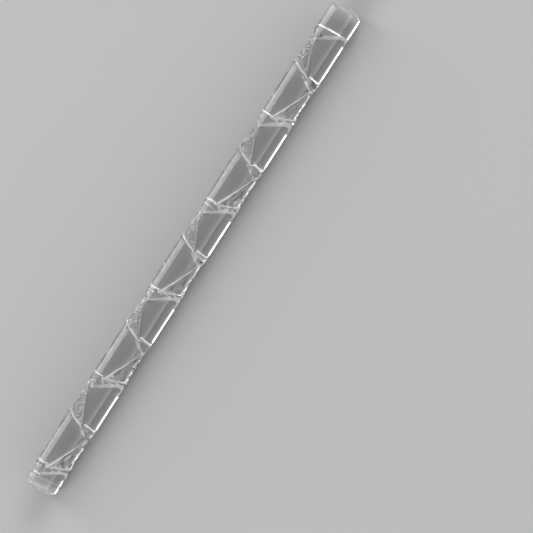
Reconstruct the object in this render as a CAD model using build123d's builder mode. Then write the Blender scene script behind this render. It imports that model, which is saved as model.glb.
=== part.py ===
from build123d import *
import math
import os

os.makedirs("parts", exist_ok=True)

# Clear rolling rod with rhombic pockets pressed into it, lying along X on its side.
# All lengths are in millimetres and all angles in degrees.

# Rod body
rod_length = 330.0
rod_radius = 10.0
dome_radius = 22.0
end_round = 2.6

# Plain lands between each ring line and the end of the rod
long_land = 15.8
short_land = 7.2
long_land_skew = 6.5
ring_line_width = 0.5
ring_line_depth = 0.2

# One rhombic pocket, measured on the unrolled surface
pocket_side = 27.5
steep_edge_angle = 70.0
shallow_edge_angle = 26.0
pocket_depth = 0.9
pocket_floor_bevel = 0.8
cut_overrun = 0.6

# Two rows of pockets, half a turn and half a pitch apart and mirrored
row_pitch = 59.7
first_pocket_setback = 60.7
climbing_row_turn = 212.0
falling_row_turn = climbing_row_turn - 180
climbing_pockets = 5
falling_pockets = 6

# Direction round the rod in which the skewed ring line leans
skew_axis_turn = 125.0

# Sizes of the rhombus that follow from its side and its two edge angles
steep_climb = math.tan(math.radians(steep_edge_angle))
shallow_climb = math.tan(math.radians(shallow_edge_angle))
steep_run = pocket_side * math.cos(math.radians(steep_edge_angle))
steep_rise = pocket_side * math.sin(math.radians(steep_edge_angle))
shallow_run = pocket_side * math.cos(math.radians(shallow_edge_angle))
shallow_rise = pocket_side * math.sin(math.radians(shallow_edge_angle))
pocket_half_run = (steep_run + shallow_run) / 2
pocket_half_rise = (steep_rise + shallow_rise) / 2
blunt_corner_run = (shallow_run - steep_run) / 2
blunt_corner_rise = (steep_rise - shallow_rise) / 2
shallow_band_rise = steep_rise - steep_run * shallow_climb

half_length = rod_length / 2
floor_radius = rod_radius - pocket_depth
long_ring_x = half_length - long_land
short_ring_x = short_land - half_length


def twisted_sector(start_x, end_x, low_rise, band_rise, climb, inner_radius, outer_radius):
    """Ring sector that turns about X as it runs from start_x to end_x, climbing at the given slope."""
    start_turn = math.degrees(low_rise / rod_radius)
    sweep = math.degrees(band_rise / rod_radius)
    with BuildSketch(Plane.YZ.offset(start_x)) as section:
        with BuildLine():
            outer = CenterArc((0, 0), outer_radius, start_turn, sweep)
            inner = CenterArc((0, 0), inner_radius, start_turn, sweep)
            Line(outer @ 0, inner @ 0)
            Line(outer @ 1, inner @ 1)
        make_face()
    run = end_x - start_x
    twist = math.degrees(climb * run / rod_radius)
    return Solid.extrude_linear_with_rotation(section.sketch.faces()[0], (start_x, 0, 0), (run, 0, 0), twist)


def radius_at(point):
    """Distance of a point from the rod's axis."""
    return math.hypot(point.Y, point.Z)


def is_floor_edge(edge):
    """True for an edge that lies in the pocket's floor from end to end."""
    return max(radius_at(edge @ 0), radius_at(edge @ 0.5), radius_at(edge @ 1)) < rod_radius - pocket_depth / 2


# Pocket of the climbing row, centred on +Y at x = 0: a band along the shallow edges, with both ends
# cut off along the steep edges
with BuildPart() as climbing_pocket:
    add(
        twisted_sector(
            -pocket_half_run,
            pocket_half_run,
            -pocket_half_rise,
            shallow_band_rise,
            shallow_climb,
            floor_radius,
            rod_radius + cut_overrun,
        )
    )
    trim_start = -pocket_half_run - cut_overrun
    trim_end = -blunt_corner_run + cut_overrun
    trim_rise = shallow_band_rise + pocket_half_rise / 4
    trim_inner = floor_radius - cut_overrun
    trim_outer = rod_radius + 2 * cut_overrun
    above_low = -pocket_half_rise - cut_overrun * steep_climb
    below_low = -blunt_corner_rise - cut_overrun * steep_climb - trim_rise
    add(
        twisted_sector(trim_start, trim_end, above_low, trim_rise, steep_climb, trim_inner, trim_outer),
        mode=Mode.SUBTRACT,
    )
    add(
        twisted_sector(-trim_end, -trim_start, below_low, trim_rise, steep_climb, trim_inner, trim_outer),
        mode=Mode.SUBTRACT,
    )
    chamfer(climbing_pocket.edges().filter_by(is_floor_edge), pocket_floor_bevel)

with BuildPart() as falling_pocket:
    mirror(climbing_pocket.part, about=Plane.XY)

# Zone between the two ring lines: only there are the pockets cut
skew_turn = math.radians(skew_axis_turn)
skew_lean = math.radians(long_land_skew)
long_ring_normal = (
    math.cos(skew_lean),
    math.sin(skew_lean) * math.sin(skew_turn),
    -math.sin(skew_lean) * math.cos(skew_turn),
)
long_ring_plane = Plane(origin=(long_ring_x, 0, 0), z_dir=long_ring_normal)
short_ring_plane = Plane(origin=(short_ring_x, 0, 0), z_dir=(-1, 0, 0))

with BuildPart() as patterned_zone:
    with BuildSketch(Plane.YZ.offset(-half_length)):
        Circle(rod_radius + 2 * cut_overrun)
    extrude(amount=rod_length)
    split(bisect_by=long_ring_plane, keep=Keep.BOTTOM)
    split(bisect_by=short_ring_plane, keep=Keep.BOTTOM)

# Both rows of pockets
climbing_start = half_length - first_pocket_setback
falling_start = climbing_start + row_pitch / 2
climbing_places = [
    Location((climbing_start - index * row_pitch, 0, 0), (climbing_row_turn, 0, 0))
    for index in range(climbing_pockets)
]
falling_places = [
    Location((falling_start - index * row_pitch, 0, 0), (falling_row_turn, 0, 0))
    for index in range(falling_pockets)
]

with BuildPart() as pockets:
    with Locations(*climbing_places):
        add(climbing_pocket.part)
    with Locations(*falling_places):
        add(falling_pocket.part)
    add(patterned_zone.part, mode=Mode.INTERSECT)

# Thin ring lines where the pattern stops
with BuildPart() as ring_lines:
    for ring_plane in (long_ring_plane, short_ring_plane):
        with BuildSketch(ring_plane.offset(-ring_line_width / 2)):
            Circle(rod_radius + 2 * cut_overrun)
        extrude(amount=ring_line_width)
    with BuildSketch(Plane.YZ.offset(-half_length)):
        Circle(rod_radius - ring_line_depth)
    extrude(amount=rod_length, mode=Mode.SUBTRACT)

# Solid rod with shallow domed ends and rounded end edges
dome_rise = dome_radius - math.sqrt(dome_radius**2 - rod_radius**2)

with BuildPart() as plain_rod:
    with BuildSketch(Plane.XZ) as half_profile:
        with BuildLine():
            axis_line = Line((-half_length, 0), (half_length, 0))
            right_corner = (half_length - dome_rise, rod_radius)
            left_corner = (dome_rise - half_length, rod_radius)
            RadiusArc(axis_line @ 1, right_corner, -dome_radius)
            Line(right_corner, left_corner)
            RadiusArc(left_corner, axis_line @ 0, -dome_radius)
        make_face()
        fillet(half_profile.vertices().group_by(Axis.Y)[-1], end_round)
    revolve(axis=Axis.X)

with BuildPart() as textured_rod:
    with Locations((0, 0, rod_radius)):
        add(plain_rod.part)
        add(pockets.part, mode=Mode.SUBTRACT)
        add(ring_lines.part, mode=Mode.SUBTRACT)

textured_rod.part.label = "textured_rod"
export_step(textured_rod.part, "parts/textured_rod.step")
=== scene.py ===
import math

import bpy
import numpy as np
from mathutils import Matrix, Vector, noise
from mathutils.geometry import delaunay_2d_cdt


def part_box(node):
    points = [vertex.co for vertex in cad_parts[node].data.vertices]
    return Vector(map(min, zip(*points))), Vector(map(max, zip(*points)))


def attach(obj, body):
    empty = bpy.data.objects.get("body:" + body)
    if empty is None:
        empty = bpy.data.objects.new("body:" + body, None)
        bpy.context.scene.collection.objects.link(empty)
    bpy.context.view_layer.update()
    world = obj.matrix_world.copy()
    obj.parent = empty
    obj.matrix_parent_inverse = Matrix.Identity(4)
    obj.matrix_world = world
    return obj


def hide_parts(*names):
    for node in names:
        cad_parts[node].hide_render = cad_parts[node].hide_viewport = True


# A clear rolling rod with rhombic pockets, lying along X on a pale floor.
# Its skin is meshed on the unrolled surface, where x runs along the rod and s round it, in millimetres,
# and is then wrapped round the axis. Everything outside the skin is in metres.

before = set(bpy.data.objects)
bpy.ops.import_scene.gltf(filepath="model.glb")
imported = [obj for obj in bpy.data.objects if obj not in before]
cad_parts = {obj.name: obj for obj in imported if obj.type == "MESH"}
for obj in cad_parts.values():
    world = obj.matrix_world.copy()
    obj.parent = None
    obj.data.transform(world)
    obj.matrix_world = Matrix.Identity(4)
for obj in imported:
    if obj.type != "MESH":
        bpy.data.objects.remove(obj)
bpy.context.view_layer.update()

MM = 0.001
ROD_NODE = "textured_rod"
rod_low, rod_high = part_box(ROD_NODE)
half_length = (rod_high.x - rod_low.x) / 2 / MM
rod_radius = (rod_high.z - rod_low.z) / 2 / MM
rod_middle = (rod_low + rod_high) / 2
girth = 2 * math.pi * rod_radius

# Ends, with their rounding polished a little less than the rest
dome_radius = 22.0
end_round = 2.6
end_frost = 0.5

# Ring lines and the lands outside them
long_land = 15.8
short_land = 7.2
long_land_skew = math.radians(6.5)
skew_axis_turn = math.radians(125.0)
ring_line_width = 0.5
ring_line_depth = 0.2
long_ring_x = half_length - long_land
short_ring_x = short_land - half_length

# Pockets
pocket_side = 27.5
steep_edge_angle = math.radians(70.0)
shallow_edge_angle = math.radians(26.0)
pocket_depth = 0.9
row_pitch = 59.7
first_pocket_setback = 60.7
climbing_row_turn = math.radians(212.0)
climbing_pockets = 5
falling_pockets = 6

# Wall of a pocket: depth reached at each inset from its rim
WALL = (
    (-0.1, 0.0),
    (0.0, 0.02),
    (0.12, 0.11),
    (0.3, 0.33),
    (0.5, 0.6),
    (0.68, 0.79),
    (0.85, 0.87),
    (1.05, pocket_depth),
)
wall_insets = [inset for inset, depth in WALL]
wall_depths = [depth for inset, depth in WALL]
wall_unevenness = 0.5
wall_ripple_length = 2.6

# Frost on the walls, which sets in at the rim and fades out over the floor, as ranges of the inset
wall_frost = 0.9
wall_frost_start = (-0.05, 0.2)
wall_frost_fade = (0.8, 1.3)

# Streaks in the pocket floors, which set in over a range of the inset and all lean the same way: sharp
# ridges, broad swells and small chips
streak_start = (0.7, 1.6)
streak_height = 0.55
streak_length = 6.5
streak_width = 2.2
streak_lean = math.radians(50.0)
streak_bend_length = 4
ridge_weight = 1.3
ridge_level = 0.5
ridge_slope = 2
swell_weight = 0.7
swell_stretch = 2
swell_widening = 2.5
chip_weight = 0.12
chip_size = 0.9

# Frost on the streaks, which sets in over a range of their relief
valley_frost = 0.05
crest_frost = 0.8
crest_start = (0.55, 1.0)

# Seeds of the random relief: one step for each pocket, and one offset for each kind of relief
POCKET_SEED_STEP = 53
RIDGE_SEED = 7
SWELL_SEED = 19
CHIP_SEED = 31

# Spacing of the skin's points
around_count = 144
land_step = 2.4
outline_step = 0.4
floor_step_x = 0.5
floor_step_s = 0.26
corner_arc_count = 4
ring_line_shares = (-1, -0.6, -0.3, 0, 0.3, 0.6, 1)
end_round_rings = 12
dome_rings = 10

# Small distances on the unrolled surface
border_margin = 1
seam_gap = 1e-3
merge_distance = 1e-5
slope_reach = 0.02


# The unrolled pattern


def direction(angle):
    return np.array([math.cos(angle), math.sin(angle)])


steep_edge = pocket_side * direction(steep_edge_angle)
shallow_edge = pocket_side * direction(shallow_edge_angle)
RHOMBUS = np.array(
    [
        (steep_edge + shallow_edge) / 2,
        (steep_edge - shallow_edge) / 2,
        -(steep_edge + shallow_edge) / 2,
        (shallow_edge - steep_edge) / 2,
    ]
)
inradius = pocket_side * math.sin(steep_edge_angle - shallow_edge_angle) / 2


def pocket_places():
    """Centre and mirror sign of each pocket: the climbing row, then the falling row across the rod."""
    climbing_start = half_length - first_pocket_setback
    falling_start = climbing_start + row_pitch / 2
    climbing_s = climbing_row_turn * rod_radius
    falling_s = climbing_s - girth / 2
    climbing = [(climbing_start - i * row_pitch, climbing_s, 1) for i in range(climbing_pockets)]
    falling = [(falling_start - i * row_pitch, falling_s, -1) for i in range(falling_pockets)]
    return climbing + falling


POCKETS = pocket_places()


def pocket_frame(x, s, place):
    """Coordinates of points in a pocket's own upright frame, measured the short way round the rod."""
    centre_x, centre_s, sign = place
    across = (s - centre_s + girth / 2) % girth - girth / 2
    return x - centre_x, sign * across


def rhombus_inset(u, v):
    """Distance inwards from the outline of a pocket, negative outside it."""
    outside = np.full(np.shape(u), np.inf)
    for start, end in zip(RHOMBUS, np.roll(RHOMBUS, -1, axis=0)):
        edge = end - start
        share = np.clip(((u - start[0]) * edge[0] + (v - start[1]) * edge[1]) / edge.dot(edge), 0, 1)
        gap = np.hypot(u - start[0] - share * edge[0], v - start[1] - share * edge[1])
        outside = np.minimum(outside, gap)
    steep_gap = np.abs(u * math.sin(steep_edge_angle) - v * math.cos(steep_edge_angle))
    shallow_gap = np.abs(u * math.sin(shallow_edge_angle) - v * math.cos(shallow_edge_angle))
    inside = inradius - np.maximum(steep_gap, shallow_gap)
    return np.where(inside > 0, inside, -outside)


def ring_insets(x, s):
    """Distances inwards, towards the pattern, from the long land's ring line and the short land's."""
    lean_reach = rod_radius * math.tan(long_land_skew)
    long_line_x = long_ring_x - lean_reach * np.sin(skew_axis_turn - s / rod_radius)
    return (long_line_x - x) * math.cos(long_land_skew), x - short_ring_x


def ring_line_x(s, inset, at_long_end):
    """Where a line at an inset from one of the ring lines passes, for points round the rod."""
    long_inset, short_inset = ring_insets(0.0, s)
    if at_long_end:
        return (long_inset - inset) / math.cos(long_land_skew)
    return inset - short_inset


def pattern_inset(x, s):
    """Distance inwards from the nearest pocket's rim, with the pockets cut off at the ring lines."""
    nearest = np.full(np.shape(x), -np.inf)
    for place in POCKETS:
        nearest = np.maximum(nearest, rhombus_inset(*pocket_frame(x, s, place)))
    long_inset, short_inset = ring_insets(x, s)
    return np.minimum(nearest, np.minimum(long_inset, short_inset))


# The relief of the skin


def smooth_step(value, low, high):
    share = np.clip((value - low) / (high - low), 0, 1)
    return share * share * (3 - 2 * share)


def streak(x, s, seed):
    """Relief of one point on a pocket floor, from about -1 to 1, drawn out along the streaks' lean."""
    along = (x * math.cos(streak_lean) + s * math.sin(streak_lean)) / streak_length
    across = (s * math.cos(streak_lean) - x * math.sin(streak_lean)) / streak_width
    bend = noise.noise(Vector((x / streak_bend_length, s / streak_bend_length, seed)))
    ridge = noise.noise(Vector((along, across + bend, seed + RIDGE_SEED)))
    swell = noise.noise(Vector((along / swell_stretch, across / swell_widening, seed + SWELL_SEED)))
    chip = noise.noise(Vector((x / chip_size, s / chip_size, seed + CHIP_SEED)))
    ridge_height = ridge_level - ridge_slope * abs(ridge)
    return ridge_weight * ridge_height + swell_weight * swell + chip_weight * chip


def random_relief(x, s, inset):
    """Uneven insets and streaky relief of points, both random inside the pockets alone."""
    inset = inset.copy()
    relief = np.zeros(np.shape(x))
    for number, (centre_x, centre_s, sign) in enumerate(POCKETS):
        seed = POCKET_SEED_STEP * number
        u, v = pocket_frame(x, s, (centre_x, centre_s, 1))
        for i in np.nonzero((rhombus_inset(u, sign * v) > 0) & (inset > 0))[0]:
            ripple = noise.noise(Vector((u[i], v[i], seed)) / wall_ripple_length)
            inset[i] *= 1 + wall_unevenness * ripple
            relief[i] = streak(u[i], v[i], seed)
    return inset, relief


def skin(x, s):
    """Depth of the skin under the plain rod's surface, and its frost: on walls and streaks' crests."""
    inset, relief = random_relief(x, s, pattern_inset(x, s))
    depth = np.interp(inset, wall_insets, wall_depths)
    for ring_inset in ring_insets(x, s):
        share = np.clip(np.abs(ring_inset) / (ring_line_width / 2), 0, 1)
        depth = np.maximum(depth, ring_line_depth * (1 + np.cos(math.pi * share)) / 2)
    floor_share = smooth_step(inset, *streak_start)
    wall_share = smooth_step(inset, *wall_frost_start) * (1 - smooth_step(inset, *wall_frost_fade))
    crest_share = smooth_step(relief, *crest_start)
    floor_frost = valley_frost + (crest_frost - valley_frost) * crest_share
    frost = np.maximum(wall_frost * wall_share, floor_frost * floor_share)
    return depth - streak_height * floor_share * relief, frost


# Points and outlines on the unrolled surface


def pocket_outline(inset):
    """Closed line at an inset from the rim, in a pocket's own frame, rounded where it is outside the rim."""
    corners = RHOMBUS * (inradius - max(inset, 0)) / inradius
    radius = max(-inset, 0)
    arc_count = corner_arc_count if radius else 0
    edge_count = round(pocket_side / outline_step)
    points = []
    for before, corner, after in zip(np.roll(corners, 1, axis=0), corners, np.roll(corners, -1, axis=0)):
        start_angle = math.atan2(*(corner - before)[::-1]) + math.pi / 2
        end_angle = math.atan2(*(after - corner)[::-1]) + math.pi / 2
        turn = (end_angle - start_angle + math.pi) % (2 * math.pi) - math.pi
        for i in range(arc_count):
            points.append(corner + radius * direction(start_angle + turn * i / arc_count))
        edge = after - corner
        start = corner + radius * direction(end_angle)
        points.extend(start + edge * i / edge_count for i in range(edge_count))
    return np.array(points)


class Plan:
    """Points and lines collected for the triangulation."""

    def __init__(self):
        self.points = []
        self.lines = []

    def add_points(self, points):
        start = len(self.points)
        self.points.extend(Vector((float(x), float(s))) for x, s in points)
        return start

    def add_line(self, points, closed=False):
        start = self.add_points(points)
        count = len(points)
        self.lines.extend((start + i, start + i + 1) for i in range(count - 1))
        if closed:
            self.lines.append((start + count - 1, start))


def plan_borders(plan, along, around):
    """Adds the border of the straight part, and the lines that follow the two ring lines."""
    for s in (0.0, girth):
        plan.add_line([(x, s) for x in along])
    for x in (along[0], along[-1]):
        plan.add_line([(x, s) for s in around])
    insets = [share * ring_line_width / 2 for share in ring_line_shares]
    insets += [inset for inset in wall_insets if inset > ring_line_width / 2]
    for at_long_end in (True, False):
        for inset in insets:
            plan.add_line([(ring_line_x(s, inset, at_long_end), s) for s in around])


def plan_walls(plan, cylinder_end):
    """Adds the lines that follow the pockets' walls, where they run on the straight part."""
    end = cylinder_end - border_margin
    for centre_x, centre_s, sign in POCKETS:
        for lap in (-girth, 0.0, girth):
            for inset in wall_insets:
                outline = pocket_outline(inset)
                outline[:, 1] *= sign
                outline += (centre_x, centre_s + lap)
                inside = (outline[:, 1] > -border_margin) & (outline[:, 1] < girth + border_margin)
                inside &= np.abs(outline[:, 0]) < end
                changes = np.nonzero(np.diff(inside.astype(int)))[0] + 1
                for run in np.split(np.arange(len(outline)), changes):
                    if inside[run[0]] and len(run) > 1:
                        plan.add_line(outline[run], closed=len(run) == len(outline))


def plan_surfaces(plan, along, around):
    """Adds the points that fill the lands, and the finer ones that fill the pockets' floors."""
    grid_x, grid_s = np.meshgrid(along[1:-1], around[1:-1])
    grid_x, grid_s = grid_x.ravel(), grid_s.ravel()
    clear = pattern_inset(grid_x, grid_s) < wall_insets[0] - outline_step / 2
    for ring_inset in ring_insets(grid_x, grid_s):
        clear &= np.abs(ring_inset) > ring_line_width
    plan.add_points(zip(grid_x[clear], grid_s[clear]))

    floor_x = np.arange(along[0], along[-1], floor_step_x)
    floor_s = np.arange(floor_step_s / 2, girth, floor_step_s)
    grid_x, grid_s = np.meshgrid(floor_x, floor_s)
    grid_x[1::2] += floor_step_x / 2
    grid_x, grid_s = grid_x.ravel(), grid_s.ravel()
    floor = pattern_inset(grid_x, grid_s) > wall_insets[-1] + outline_step / 3
    plan.add_points(zip(grid_x[floor], grid_s[floor]))


def flat_skin(cylinder_end):
    """Triangulates the straight part of the rod, unrolled: the places of its points, and its triangles."""
    plan = Plan()
    around = np.arange(around_count + 1) * girth / around_count
    along = np.linspace(-cylinder_end, cylinder_end, round(2 * cylinder_end / land_step) + 1)
    plan_borders(plan, along, around)
    plan_walls(plan, cylinder_end)
    plan_surfaces(plan, along, around)

    points, _, faces, _, _, _ = delaunay_2d_cdt(plan.points, plan.lines, [], 0, merge_distance, False)
    points = np.array([(point.x, point.y) for point in points])
    faces = np.array(faces)
    middle = points[faces].mean(axis=1)
    inside = (middle[:, 1] > 0) & (middle[:, 1] < girth) & (np.abs(middle[:, 0]) < cylinder_end)
    used, faces = np.unique(faces[inside], return_inverse=True)
    x, s = points[used].T
    return x, s, faces.reshape(-1, 3)


# The wrapped skin


def wrap(x, s, depth):
    """Place of points of the unrolled skin on the rod, in metres."""
    radius = rod_radius - depth
    turn = s / rod_radius
    places = np.stack([x, radius * np.cos(turn), radius * np.sin(turn)], axis=1)
    return places * MM + np.array(rod_middle)


def wrapped_normals(x, s, depth):
    """Outward normals of the wrapped skin, from the slope of its depth."""
    slope_x = (skin(x + slope_reach, s)[0] - skin(x - slope_reach, s)[0]) / (2 * slope_reach)
    slope_s = (skin(x, s + slope_reach)[0] - skin(x, s - slope_reach)[0]) / (2 * slope_reach)
    turn = s / rod_radius
    stretch = rod_radius / (rod_radius - depth)
    out_y = np.cos(turn) - slope_s * stretch * np.sin(turn)
    out_z = np.sin(turn) + slope_s * stretch * np.cos(turn)
    normals = np.stack([slope_x, out_y, out_z], axis=1)
    return normals / np.linalg.norm(normals, axis=1)[:, None]


def join_seam(x, s, faces):
    """Lets the triangles at the unrolled skin's far edge use the points of its near edge."""
    start_seam = np.nonzero(np.abs(s) < seam_gap)[0]
    end_seam = np.nonzero(np.abs(s - girth) < seam_gap)[0]
    stand_in = np.arange(len(x))
    stand_in[end_seam[np.argsort(x[end_seam])]] = start_seam[np.argsort(x[start_seam])]
    return stand_in[faces]


# The turned ends


def end_profile():
    """Where the straight part ends, and the place along X, radius and lean of each ring of an end."""
    core_x = half_length - dome_radius
    core_radius = rod_radius - end_round
    round_x = core_x + math.sqrt((dome_radius - end_round) ** 2 - core_radius**2)
    meet = math.atan2(core_radius, round_x - core_x)
    profile = []
    for i in range(1, end_round_rings + 1):
        lean = math.pi / 2 + (meet - math.pi / 2) * i / end_round_rings
        ring_x = round_x + end_round * math.cos(lean)
        profile.append((ring_x, core_radius + end_round * math.sin(lean), lean))
    for i in range(1, dome_rings):
        lean = meet * (1 - i / dome_rings)
        profile.append((core_x + dome_radius * math.cos(lean), dome_radius * math.sin(lean), lean))
    return round_x, profile


class Shell:
    """Points and triangles collected for the rod's mesh."""

    def __init__(self):
        self.places = []
        self.normals = []
        self.frost = []
        self.faces = []
        self.count = 0

    def add_points(self, places, normals, frost):
        """Adds points and returns their numbers."""
        self.places.append(places)
        self.normals.append(normals)
        self.frost.append(frost)
        numbers = self.count + np.arange(len(places))
        self.count += len(places)
        return numbers

    def close_end(self, side, ring, s, profile):
        """Closes one end with rings of points, from the ring at its edge to its middle."""
        turn = s / rod_radius
        for ring_x, radius, lean in profile:
            places = wrap(np.full(len(s), side * ring_x), s, rod_radius - radius)
            facing = np.full(len(s), side * math.cos(lean))
            out_y = math.sin(lean) * np.cos(turn)
            out_z = math.sin(lean) * np.sin(turn)
            normals = np.stack([facing, out_y, out_z], axis=1)
            new_ring = self.add_points(places, normals, np.full(len(s), end_frost * math.sin(2 * lean)))
            after, new_after = np.roll(ring, -1), np.roll(new_ring, -1)
            self.faces.append(np.stack([ring, after, new_after], axis=1))
            self.faces.append(np.stack([ring, new_after, new_ring], axis=1))
            ring = new_ring
        tip_place = wrap(np.array([side * half_length]), np.zeros(1), rod_radius)
        tip = self.add_points(tip_place, np.array([[side, 0.0, 0.0]]), np.zeros(1))
        self.faces.append(np.stack([ring, np.roll(ring, -1), np.full(len(s), tip[0])], axis=1))

    def outward_faces(self, places, normals):
        """All triangles that have three corners, each turned the way that its normals point."""
        faces = np.concatenate(self.faces)
        first, second, third = faces.T
        faces = faces[(first != second) & (second != third) & (third != first)]
        first, second, third = (places[faces[:, i]] for i in range(3))
        out = np.cross(second - first, third - first)
        inwards = np.einsum("ij,ij->i", out, normals[faces].mean(axis=1)) < 0
        faces[inwards] = faces[inwards][:, ::-1]
        return faces

    def make_object(self, name):
        """Makes the mesh, with its frost as an attribute, and puts it into the scene."""
        places = np.concatenate(self.places)
        normals = np.concatenate(self.normals)
        frost = np.concatenate(self.frost)
        used, faces = np.unique(self.outward_faces(places, normals), return_inverse=True)
        mesh = bpy.data.meshes.new(name)
        mesh.from_pydata(places[used].tolist(), [], faces.reshape(-1, 3).tolist())
        mesh.polygons.foreach_set("use_smooth", [True] * len(mesh.polygons))
        attribute = mesh.attributes.new("frost", "FLOAT", "POINT")
        attribute.data.foreach_set("value", frost[used])
        mesh.normals_split_custom_set_from_vertices(normals[used].tolist())
        made = bpy.data.objects.new(name, mesh)
        bpy.context.scene.collection.objects.link(made)
        return made


def build_rod():
    """Makes the rod: the wrapped skin, closed by a turned end at each side."""
    cylinder_end, profile = end_profile()
    x, s, faces = flat_skin(cylinder_end)
    depth, frost = skin(x, s)
    shell = Shell()
    shell.add_points(wrap(x, s, depth), wrapped_normals(x, s, depth), frost)
    shell.faces.append(join_seam(x, s, faces))
    for side in (1, -1):
        edge = np.nonzero((np.abs(x - side * cylinder_end) < seam_gap) & (s < girth - seam_gap))[0]
        edge = edge[np.argsort(s[edge])]
        shell.close_end(side, edge, s[edge], profile)
    return shell.make_object("rod")


# Materials

# Acrylic: its rubbing marks, its tints, the look of full frost, and the light that its shadow keeps
acrylic_ior = 1.49
rub_stretch = (60, 900, 900)
rub_detail = 4.0
rub_roughness = 0.6
rub_range = (0.35, 0.75)
rub_haze = 0.05
clear_tints = ((0.95, 0.965, 0.96, 1), (0.98, 0.985, 0.985, 1))
frosted_roughness = 0.2
frosted_transmission = 0.6
shadow_light = 0.1

# Tabletop, with its faint mottle
floor_greys = ((0.58, 0.58, 0.58, 1), (0.61, 0.61, 0.61, 1))
floor_mottle_scale = 12.0
floor_mottle_detail = 5.0
floor_roughness = 0.9
floor_specular = 0.1


def add_node(tree, kind, **values):
    """Adds a node and sets its properties, and the inputs that carry the names of the other values."""
    node = tree.nodes.new(kind)
    for name, value in values.items():
        if hasattr(node, name):
            setattr(node, name, value)
        else:
            node.inputs[name.replace("_", " ")].default_value = value
    return node


def add_colour_mix(tree, factor, first, second):
    """Adds a blend from the first colour to the second and returns its result."""
    blend = add_node(tree, "ShaderNodeMix", data_type="RGBA")
    blend.inputs["A"].default_value = first
    blend.inputs["B"].default_value = second
    tree.links.new(factor, blend.inputs["Factor"])
    return blend.outputs["Result"]


def new_material(name):
    material = bpy.data.materials.new(name)
    material.use_nodes = True
    return material, material.node_tree, material.node_tree.nodes["Principled BSDF"]


def acrylic():
    """Clear cast acrylic: polished on the lands, frosted in the pockets, with faint rubbing marks."""
    material, tree, shader = new_material("clear_acrylic")
    link = tree.links.new
    shader.inputs["IOR"].default_value = acrylic_ior

    place = add_node(tree, "ShaderNodeTexCoord")
    stretch = add_node(tree, "ShaderNodeMapping", Scale=rub_stretch)
    rub = add_node(tree, "ShaderNodeTexNoise", Scale=1.0, Detail=rub_detail, Roughness=rub_roughness)
    link(place.outputs["Object"], stretch.inputs["Vector"])
    link(stretch.outputs["Vector"], rub.inputs["Vector"])
    link(add_colour_mix(tree, rub.outputs["Fac"], *clear_tints), shader.inputs["Base Color"])

    low, high = rub_range
    haze = add_node(tree, "ShaderNodeMapRange", From_Min=low, From_Max=high, To_Min=0.0, To_Max=rub_haze)
    link(rub.outputs["Fac"], haze.inputs["Value"])
    frost = add_node(tree, "ShaderNodeAttribute", attribute_name="frost")
    rough = add_node(tree, "ShaderNodeMath", operation="MULTIPLY_ADD")
    rough.inputs[1].default_value = frosted_roughness
    link(frost.outputs["Fac"], rough.inputs[0])
    link(haze.outputs["Result"], rough.inputs[2])
    link(rough.outputs["Value"], shader.inputs["Roughness"])

    clear = add_node(tree, "ShaderNodeMapRange", To_Min=1.0, To_Max=frosted_transmission)
    link(frost.outputs["Fac"], clear.inputs["Value"])
    link(clear.outputs["Result"], shader.inputs["Transmission Weight"])
    add_plain_shadow(tree, shader)
    return material


def add_plain_shadow(tree, shader):
    """Even, soft shadow instead of bright caustic lines.

    Light on its way to a lamp is dimmed where it enters the acrylic, and not where it leaves, so that the
    frosted walls of the far side stay lit from within.
    """
    link = tree.links.new
    facing = add_node(tree, "ShaderNodeNewGeometry")
    entering = (shadow_light, shadow_light, shadow_light, 1)
    leaving = (1, 1, 1, 1)
    through = add_node(tree, "ShaderNodeBsdfTransparent")
    path = add_node(tree, "ShaderNodeLightPath")
    shaded = add_node(tree, "ShaderNodeMath", operation="MAXIMUM")
    mix = add_node(tree, "ShaderNodeMixShader")
    link(add_colour_mix(tree, facing.outputs["Backfacing"], entering, leaving), through.inputs["Color"])
    link(path.outputs["Is Shadow Ray"], shaded.inputs[0])
    link(path.outputs["Is Diffuse Ray"], shaded.inputs[1])
    link(shaded.outputs["Value"], mix.inputs[0])
    link(shader.outputs["BSDF"], mix.inputs[1])
    link(through.outputs["BSDF"], mix.inputs[2])
    link(mix.outputs["Shader"], tree.nodes["Material Output"].inputs["Surface"])


def tabletop():
    """Plain pale tabletop with a very faint mottle."""
    material, tree, shader = new_material("tabletop")
    mottle = add_node(tree, "ShaderNodeTexNoise", Scale=floor_mottle_scale, Detail=floor_mottle_detail)
    colour = add_colour_mix(tree, mottle.outputs["Fac"], *floor_greys)
    tree.links.new(colour, shader.inputs["Base Color"])
    shader.inputs["Roughness"].default_value = floor_roughness
    shader.inputs["Specular IOR Level"].default_value = floor_specular
    return material


rod = build_rod()
rod.data.materials.append(acrylic())
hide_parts(ROD_NODE)
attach(rod, "root")

# Stage
floor_reach = 6.0
floor_corners = [(x * floor_reach, y * floor_reach, 0) for x, y in ((-1, -1), (1, -1), (1, 1), (-1, 1))]
floor_mesh = bpy.data.meshes.new("floor")
floor_mesh.from_pydata(floor_corners, [], [(0, 1, 2, 3)])
floor = bpy.data.objects.new("floor", floor_mesh)
floor.location.z = rod_low.z
floor.data.materials.append(tabletop())
bpy.context.scene.collection.objects.link(floor)

# Softboxes: one beyond each end of the rod, and a narrower one on its far side
softbox_distance = 3.0
side_softbox_size = 2.4
side_softbox_elevation = 25
side_softbox_radiance = 3.0
far_softbox_width = 0.85
far_softbox_height = 2.76
far_softbox_elevation = 30
far_softbox_radiance = 3.8


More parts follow.
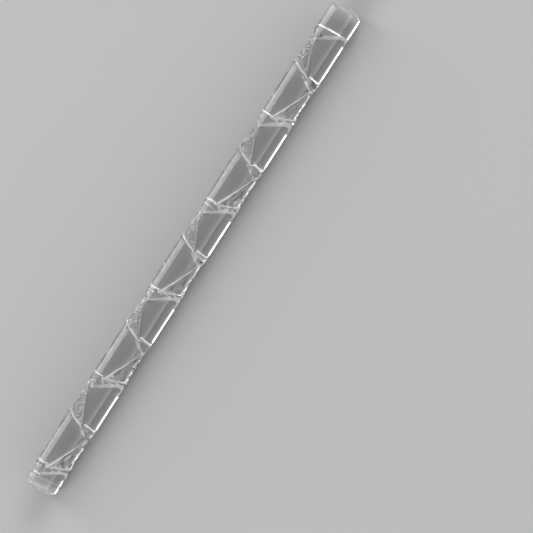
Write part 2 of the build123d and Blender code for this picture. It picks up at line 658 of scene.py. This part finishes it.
def softbox(name, azimuth, elevation, width, height, radiance):
    """Soft lamp of even brightness that faces the rod; azimuth 0 stands on the far side, along +Y."""
    lamp = bpy.data.lights.new(name, "AREA")
    lamp.shape = "RECTANGLE"
    lamp.size = width
    lamp.size_y = height
    lamp.energy = radiance * math.pi * width * height
    lamp_object = bpy.data.objects.new(name, lamp)
    turn, rise = math.radians(azimuth), math.radians(elevation)
    out = Vector((math.cos(rise) * math.sin(turn), math.cos(rise) * math.cos(turn), math.sin(rise)))
    lamp_object.location = rod_middle + softbox_distance * out
    lamp_object.rotation_euler = out.to_track_quat("Z", "Y").to_euler()
    lamp_object.visible_camera = False
    bpy.context.scene.collection.objects.link(lamp_object)


for softbox_name, azimuth in (("left_softbox", -90), ("right_softbox", 90)):
    softbox(
        softbox_name,
        azimuth,
        side_softbox_elevation,
        side_softbox_size,
        side_softbox_size,
        side_softbox_radiance,
    )
softbox("far_softbox", 0, far_softbox_elevation, far_softbox_width, far_softbox_height, far_softbox_radiance)

# Room light at each angle over the rod, in degrees: 0 is the near horizon and 180 the far one
ROOM_LIGHT = (
    (-20, 0.0),
    (-6, 3.6),
    (8, 3.2),
    (22, 1.6),
    (30, 0.9),
    (42, 0.4),
    (75, 0.15),
    (115, 0.06),
    (164, 0.06),
    (169, 1.5),
    (181, 1.5),
    (200, 0.0),
)
first_angle = ROOM_LIGHT[0][0]
last_angle = ROOM_LIGHT[-1][0]
brightest = max(level for angle, level in ROOM_LIGHT)
backdrop_level = 0.55


def fill_ramp(color_ramp):
    """Writes the room light into a colour ramp, as shares of the brightest level."""
    steps = color_ramp.elements
    while len(steps) > 1:
        steps.remove(steps[0])
    for number, (angle, level) in enumerate(ROOM_LIGHT):
        place = (angle - first_angle) / (last_angle - first_angle)
        step = steps.new(place) if number else steps[0]
        step.position = place
        step.color = (level / brightest, level / brightest, level / brightest, 1)


def room():
    """World with a light for each height over the rod's long sides, plain and pale to the camera itself."""
    world = bpy.data.worlds.new("room")
    world.use_nodes = True
    tree = world.node_tree
    link = tree.links.new

    way = add_node(tree, "ShaderNodeTexCoord")
    parts = add_node(tree, "ShaderNodeSeparateXYZ")
    near = add_node(tree, "ShaderNodeMath", operation="MULTIPLY")
    near.inputs[1].default_value = -1.0
    turn = add_node(tree, "ShaderNodeMath", operation="ARCTAN2")
    share = add_node(
        tree, "ShaderNodeMapRange", From_Min=math.radians(first_angle), From_Max=math.radians(last_angle)
    )
    ramp = add_node(tree, "ShaderNodeValToRGB")
    fill_ramp(ramp.color_ramp)
    link(way.outputs["Generated"], parts.inputs["Vector"])
    link(parts.outputs["Y"], near.inputs[0])
    link(parts.outputs["Z"], turn.inputs[0])
    link(near.outputs["Value"], turn.inputs[1])
    link(turn.outputs["Value"], share.inputs["Value"])
    link(share.outputs["Result"], ramp.inputs["Fac"])

    light = tree.nodes["Background"]
    light.inputs["Strength"].default_value = brightest
    link(ramp.outputs["Color"], light.inputs["Color"])
    backdrop = add_node(tree, "ShaderNodeBackground")
    backdrop.inputs["Strength"].default_value = backdrop_level
    path = add_node(tree, "ShaderNodeLightPath")
    mix = add_node(tree, "ShaderNodeMixShader")
    link(path.outputs["Is Camera Ray"], mix.inputs[0])
    link(light.outputs["Background"], mix.inputs[1])
    link(backdrop.outputs["Background"], mix.inputs[2])
    link(mix.outputs["Shader"], tree.nodes["World Output"].inputs["Surface"])
    return world


bpy.context.scene.world = room()
bpy.context.scene.view_settings.view_transform = "Standard"

# Camera: far off, square to the rod and rolled, so that the rod runs from lower left to upper right
picture_size = 533
pixels_per_mm = 1.736
rod_middle_pixel = (193.35, 248.7)
camera_elevation = math.radians(55.0)
camera_roll = math.radians(57.2)
camera_distance = 2.5
camera_sensor = 36
camera_sight = 100

upright = Vector((0, math.sin(camera_elevation), math.cos(camera_elevation)))
back = Vector((0, -math.cos(camera_elevation), math.sin(camera_elevation)))
picture_right = math.cos(camera_roll) * Vector((1, 0, 0)) - math.sin(camera_roll) * upright
picture_up = math.sin(camera_roll) * Vector((1, 0, 0)) + math.cos(camera_roll) * upright
pixel = MM / pixels_per_mm
aim = rod_middle + (picture_size / 2 - rod_middle_pixel[0]) * pixel * picture_right
aim -= (picture_size / 2 - rod_middle_pixel[1]) * pixel * picture_up
to_room = Matrix((picture_right, picture_up, back)).transposed().to_4x4()

camera = bpy.data.cameras.new("camera")
camera.sensor_width = camera_sensor
camera.lens = camera_sensor * camera_distance / (picture_size * pixel)
camera.clip_end = camera_sight
camera_object = bpy.data.objects.new("camera", camera)
camera_object.matrix_world = Matrix.Translation(aim + camera_distance * back) @ to_room
bpy.context.scene.collection.objects.link(camera_object)
bpy.context.scene.camera = camera_object
